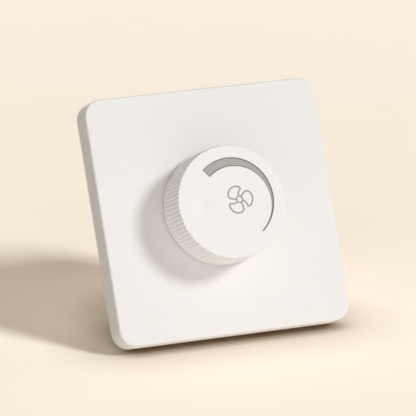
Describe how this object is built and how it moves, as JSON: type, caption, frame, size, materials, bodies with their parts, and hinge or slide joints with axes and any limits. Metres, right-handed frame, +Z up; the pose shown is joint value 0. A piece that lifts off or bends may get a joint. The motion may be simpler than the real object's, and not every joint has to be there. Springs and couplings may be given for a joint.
{
  "type": "fan speed control switch",
  "caption": "Square flush wall plate with one large ribbed rotary knob that switches a fan and sets its speed; frame, electronics and terminals in a box behind.",
  "frame": {"origin": "on the wall's surface, halfway between the two fixing slots", "axes": "+Z up, +Y into the wall and the wall box, so the knob faces -Y; +X to the right seen from the room"},
  "size_m": [0.086, 0.0504, 0.086],
  "materials": {
    "white_cover": "smooth satin moulding",
    "white_knob": "satin moulding with grey marks in its recesses",
    "white_frame": "plain moulding",
    "grey_housing": "fine-grained heat-resistant moulding",
    "zinc_steel": "bright zinc plate",
    "spring_steel": "dark spring steel",
    "plated_steel": "nickel plate",
    "die_cast": "die-cast zinc",
    "turned_aluminium": "bright aluminium",
    "laminate": "phenolic laminate",
    "contact_brass": "plain brass",
    "black_moulding": "black moulding compound",
    "diode_blue": "blue glass-like case",
    "board_green": "solder-masked board",
    "ferrite": "dark ferrite",
    "enamelled_wire": "enamelled copper wire",
    "capacitor_case": "dipped red case",
    "resistor_body": "lacquered body",
    "fuse_glass": "pale glass tube with metal caps"
  },
  "bodies": {
    "wall_unit": {"cover_plate": "white_cover", "base_frame": "white_frame", "rear_housing": "grey_housing", "housing_screws": "zinc_steel", "board_screws": "zinc_steel", "circuit_board": "board_green", "pot_bush": "die_cast", "pot_wafer": "laminate", "pot_pins": "contact_brass", "pot_can": "plated_steel", "pot_washer": "plated_steel", "pot_nut": "plated_steel", "switch_body": "black_moulding", "switch_blades": "contact_brass", "heatsink": "turned_aluminium", "triac": "black_moulding", "triac_screw": "zinc_steel", "triac_nut": "zinc_steel", "choke_core": "ferrite", "choke_winding": "enamelled_wire", "film_capacitor": "capacitor_case", "gate_resistor": "resistor_body", "timing_resistor": "resistor_body", "trigger_diode": "diode_blue", "fuse": "fuse_glass", "terminal_left": "contact_brass", "terminal_right": "contact_brass", "clamp_screw_left": "zinc_steel", "clamp_screw_right": "zinc_steel"},
    "dial": {"knob": "white_knob", "knob_clip": "spring_steel", "pot_shaft": "turned_aluminium", "pot_rotor": "black_moulding", "pot_wiper": "contact_brass", "switch_cam": "black_moulding", "shaft_ring": "spring_steel"}
  },
  "joints": [
    {"name": "knob_turn", "type": "hinge", "parent": "wall_unit", "child": "dial", "pos_m": [0, 0, 0.001], "axis": [0, 1, 0], "range_deg": [0, 280]}
  ]
}
